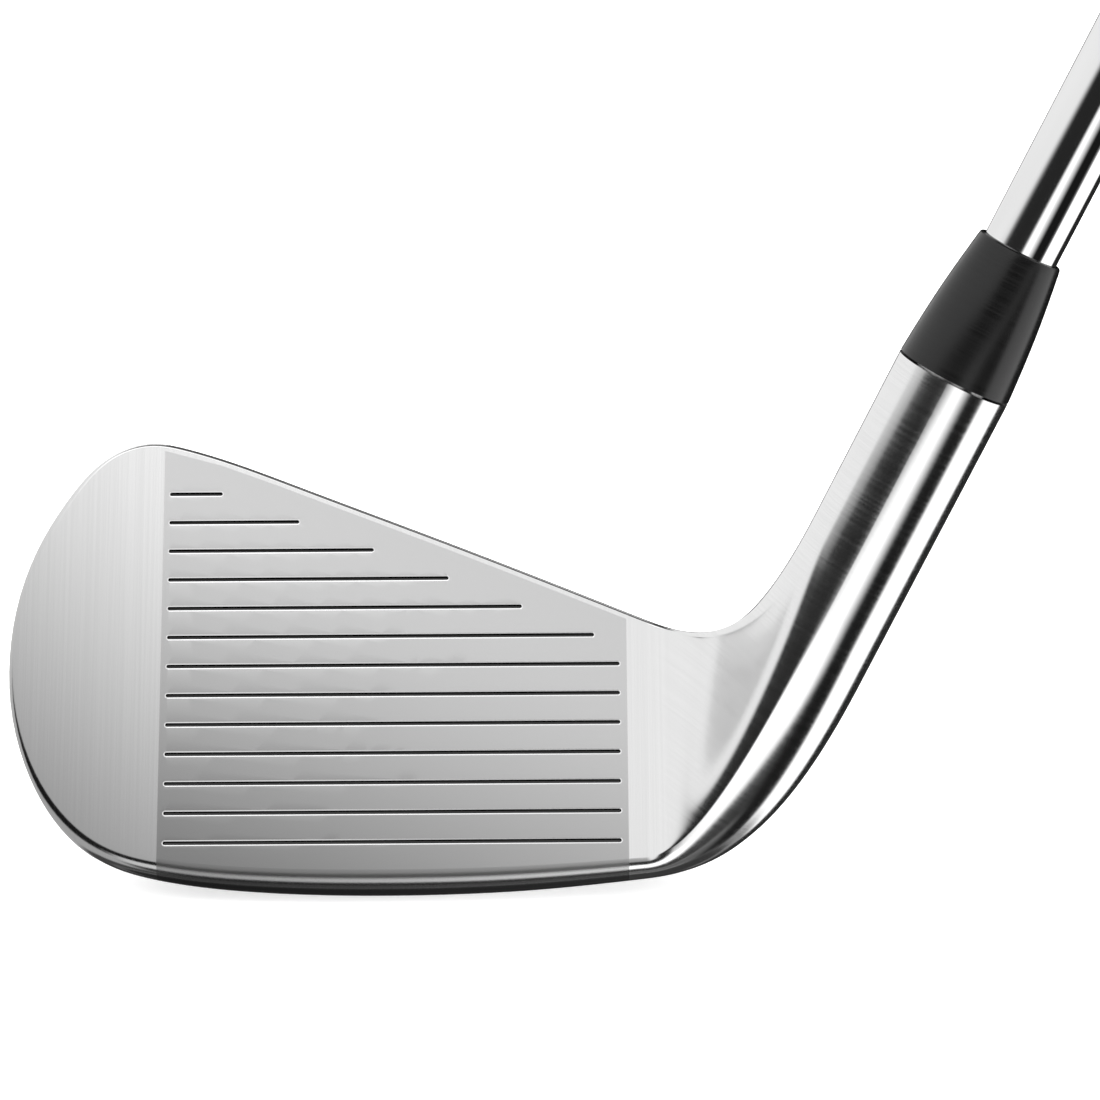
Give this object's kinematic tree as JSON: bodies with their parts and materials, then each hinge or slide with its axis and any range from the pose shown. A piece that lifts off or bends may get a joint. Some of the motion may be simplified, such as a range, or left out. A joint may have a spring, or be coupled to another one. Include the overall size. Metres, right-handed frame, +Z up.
{
  "type": "iron golf club",
  "caption": "Right-handed mid iron: forged steel head with scorelines, black ferrule, stepped steel shaft and rubber grip.",
  "frame": {"origin": "middle of the flat under the sole where the club rests on the ground, below the middle of the scorelines", "axes": "+X from toe to heel along the scorelines, +Y from the striking face to the back, +Z up with the club soled at its lie"},
  "size_m": [0.5122, 0.0421, 0.8468],
  "materials": {
    "polished_steel": "polished, with fine brush lines",
    "blasted_steel": "fine satin blast",
    "tungsten": "sintered",
    "soft_polymer": "matte",
    "bonding_pad": "matte",
    "badge_metal": "satin",
    "black_ferrule": "satin gloss",
    "brass_pin": "turned",
    "chrome_plate": "mirror",
    "label_film": "gloss",
    "paper_tape": "matte",
    "grip_rubber": "matte",
    "cap_rubber": "matte"
  },
  "bodies": {
    "root": {"head_body": "polished_steel", "face_insert": "blasted_steel", "toe_weight": "tungsten", "heel_weight": "tungsten", "polymer_core": "soft_polymer", "badge_pad": "bonding_pad", "back_badge": "badge_metal", "ferrule": "black_ferrule", "tip_weight": "brass_pin", "shaft": "chrome_plate", "shaft_label": "label_film", "grip_tape": "paper_tape", "grip": "grip_rubber", "grip_cap": "cap_rubber"}
  },
  "joints": []
}
